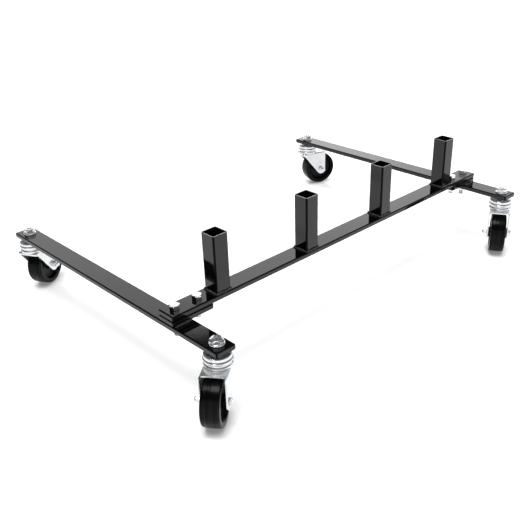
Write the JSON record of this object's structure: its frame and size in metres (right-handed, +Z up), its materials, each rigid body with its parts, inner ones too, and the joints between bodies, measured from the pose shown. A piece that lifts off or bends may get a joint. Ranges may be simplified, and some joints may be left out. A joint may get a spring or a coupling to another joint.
{
  "type": "engine stand",
  "caption": "Low rolling engine stand: end arms joined by a bolted cross beam with upright square sockets, on swivel stem casters.",
  "frame": {"origin": "on the floor under the centre of the stand's bounding box, casters as they stand", "axes": "+X along the cross beam from the left arm to the right arm, +Y along the arms from the beam towards the long rear ends, +Z up"},
  "size_m": [0.988, 0.7034, 0.254],
  "materials": {
    "black_paint": "gloss black enamel or powder coat over flat bar and square tube, with weld beads painted over",
    "zinc_plate": "bright zinc plate on pressed and machined steel, smooth to satin, with faint forming marks",
    "bearing_steel": "plain oiled bearing steel",
    "wheel_black": "satin black moulded wheel, hard and slightly polished on the tread"
  },
  "bodies": {
    "frame": {"cross_beam": "black_paint", "arm_left": "black_paint", "bracket_left": "black_paint", "arm_right": "black_paint", "bracket_right": "black_paint", "socket_1": "black_paint", "socket_2": "black_paint", "socket_3": "black_paint", "socket_4": "black_paint", "bolt_left_outer": "zinc_plate", "nut_left_outer": "zinc_plate", "bolt_left_inner": "zinc_plate", "nut_left_inner": "zinc_plate", "bolt_right_outer": "zinc_plate", "nut_right_outer": "zinc_plate", "bolt_right_inner": "zinc_plate", "nut_right_inner": "zinc_plate", "flange_nut_front_left": "zinc_plate", "stem_front_left": "zinc_plate", "top_cup_front_left": "zinc_plate", "flange_nut_rear_left": "zinc_plate", "stem_rear_left": "zinc_plate", "top_cup_rear_left": "zinc_plate", "flange_nut_rear_right": "zinc_plate", "stem_rear_right": "zinc_plate", "top_cup_rear_right": "zinc_plate", "flange_nut_front_right": "zinc_plate", "stem_front_right": "zinc_plate", "top_cup_front_right": "zinc_plate"},
    "swivel_front_left": {"ball_ring_front_left": "bearing_steel", "race_ring_front_left": "zinc_plate", "fork_front_left": "zinc_plate", "axle_bolt_front_left": "zinc_plate", "axle_nut_front_left": "zinc_plate", "hub_bush_front_left": "bearing_steel"},
    "roller_front_left": {"wheel_front_left": "wheel_black"},
    "swivel_rear_left": {"ball_ring_rear_left": "bearing_steel", "race_ring_rear_left": "zinc_plate", "fork_rear_left": "zinc_plate", "axle_bolt_rear_left": "zinc_plate", "axle_nut_rear_left": "zinc_plate", "hub_bush_rear_left": "bearing_steel"},
    "roller_rear_left": {"wheel_rear_left": "wheel_black"},
    "swivel_rear_right": {"ball_ring_rear_right": "bearing_steel", "race_ring_rear_right": "zinc_plate", "fork_rear_right": "zinc_plate", "axle_bolt_rear_right": "zinc_plate", "axle_nut_rear_right": "zinc_plate", "hub_bush_rear_right": "bearing_steel"},
    "roller_rear_right": {"wheel_rear_right": "wheel_black"},
    "swivel_front_right": {"ball_ring_front_right": "bearing_steel", "race_ring_front_right": "zinc_plate", "fork_front_right": "zinc_plate", "axle_bolt_front_right": "zinc_plate", "axle_nut_front_right": "zinc_plate", "hub_bush_front_right": "bearing_steel"},
    "roller_front_right": {"wheel_front_right": "wheel_black"}
  },
  "joints": [
    {"name": "swivel_turn_front_left", "type": "hinge", "parent": "frame", "child": "swivel_front_left", "pos_m": [-0.42498, -0.29523, 0.1], "axis": [0, 0, 1], "continuous": true},
    {"name": "wheel_roll_front_left", "type": "hinge", "parent": "swivel_front_left", "child": "roller_front_left", "pos_m": [-0.45114, -0.31452, 0.0435], "axis": [0.5934, -0.8049, 0], "continuous": true},
    {"name": "swivel_turn_rear_left", "type": "hinge", "parent": "frame", "child": "swivel_rear_left", "pos_m": [-0.42498, 0.30177, 0.1], "axis": [0, 0, 1], "continuous": true},
    {"name": "wheel_roll_rear_left", "type": "hinge", "parent": "swivel_rear_left", "child": "roller_rear_left", "pos_m": [-0.3967, 0.31777, 0.0435], "axis": [-0.4924, 0.8704, 0], "continuous": true},
    {"name": "swivel_turn_rear_right", "type": "hinge", "parent": "frame", "child": "swivel_rear_right", "pos_m": [0.41902, 0.30177, 0.1], "axis": [0, 0, 1], "continuous": true},
    {"name": "wheel_roll_rear_right", "type": "hinge", "parent": "swivel_rear_right", "child": "roller_rear_right", "pos_m": [0.4493, 0.28996, 0.0435], "axis": [0.3633, 0.9317, 0], "continuous": true},
    {"name": "swivel_turn_front_right", "type": "hinge", "parent": "frame", "child": "swivel_front_right", "pos_m": [0.41902, -0.29523, 0.1], "axis": [0, 0, 1], "continuous": true},
    {"name": "wheel_roll_front_right", "type": "hinge", "parent": "swivel_front_right", "child": "roller_front_right", "pos_m": [0.3911, -0.31187, 0.0435], "axis": [0.512, -0.859, 0], "continuous": true}
  ]
}
